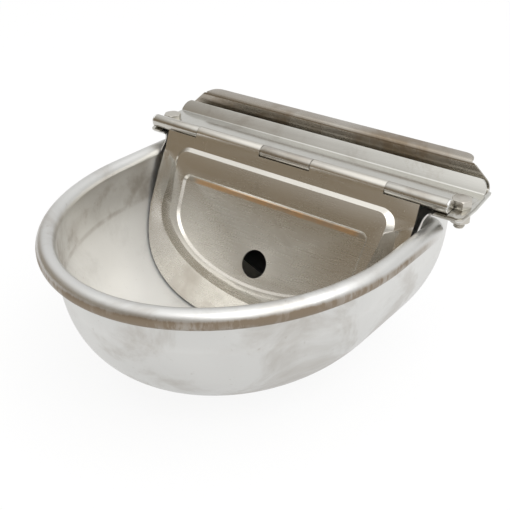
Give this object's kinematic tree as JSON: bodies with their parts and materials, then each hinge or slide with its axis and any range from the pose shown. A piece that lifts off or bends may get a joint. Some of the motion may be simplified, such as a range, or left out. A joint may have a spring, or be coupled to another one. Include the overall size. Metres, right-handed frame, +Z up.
{
  "type": "livestock drinking bowl",
  "caption": "Deep-drawn stainless livestock drinking bowl with a rolled rim, a rear float chamber behind a hinged pressed cover, and a side-fed float valve.",
  "frame": {"origin": "on the bowl's flat base, midway between the sides, where the straight sides meet the round front", "axes": "+Z up, +Y towards the wall or rail the bowl hangs on, X along the cover's hinge"},
  "size_m": [0.2909, 0.2775, 0.1407],
  "materials": {
    "bowl_steel": "pressed stainless, satin, bright on the rim",
    "plate_steel": "rolled stainless sheet, satin",
    "cover_steel": "rolled stainless sheet, satin, with a warm cast",
    "pin_steel": "plain ground rod with riveted heads",
    "bolt_steel": "stainless fasteners",
    "valve_brass": "cast and turned brass",
    "seat_plastic": "white acetal",
    "washer_rubber": "black rubber",
    "float_plastic": "white blow-moulded plastic"
  },
  "bodies": {
    "bowl": {"bowl_shell": "bowl_steel", "wall_bracket": "plate_steel", "hinge_plate": "plate_steel", "hinge_pin": "pin_steel", "clamp_bolts": "bolt_steel", "clamp_washers": "bolt_steel", "clamp_nuts": "bolt_steel", "valve_body": "valve_brass", "valve_seat": "seat_plastic", "inner_seal_washer": "washer_rubber", "outer_seal_washer": "washer_rubber", "valve_locknut": "valve_brass", "valve_cap": "valve_brass", "lever_pivot_pin": "bolt_steel"},
    "cover": {"float_cover": "cover_steel"},
    "plunger_body": {"plunger": "valve_brass", "plunger_seal": "washer_rubber"},
    "lever": {"float_lever": "valve_brass", "float_arm": "bolt_steel", "arm_nuts": "valve_brass", "float": "float_plastic"}
  },
  "joints": [
    {"name": "cover_hinge", "type": "hinge", "parent": "bowl", "child": "cover", "pos_m": [0, 0.0549, 0.12718], "axis": [-1, 0, 0], "range_deg": [0, 170]},
    {"name": "lever_pivot", "type": "hinge", "parent": "bowl", "child": "lever", "pos_m": [-0.08887, 0.058, 0.0665], "axis": [0, -1, 0], "range_deg": [0, 28]},
    {"name": "plunger_slide", "type": "slide", "parent": "bowl", "child": "plunger_body", "axis": [-1, 0, 0], "range_m": [0, 0.00726]}
  ],
  "couplings": [
    {"joint": "plunger_slide", "follows": "lever_pivot", "m_per_rad": 0.01485}
  ]
}
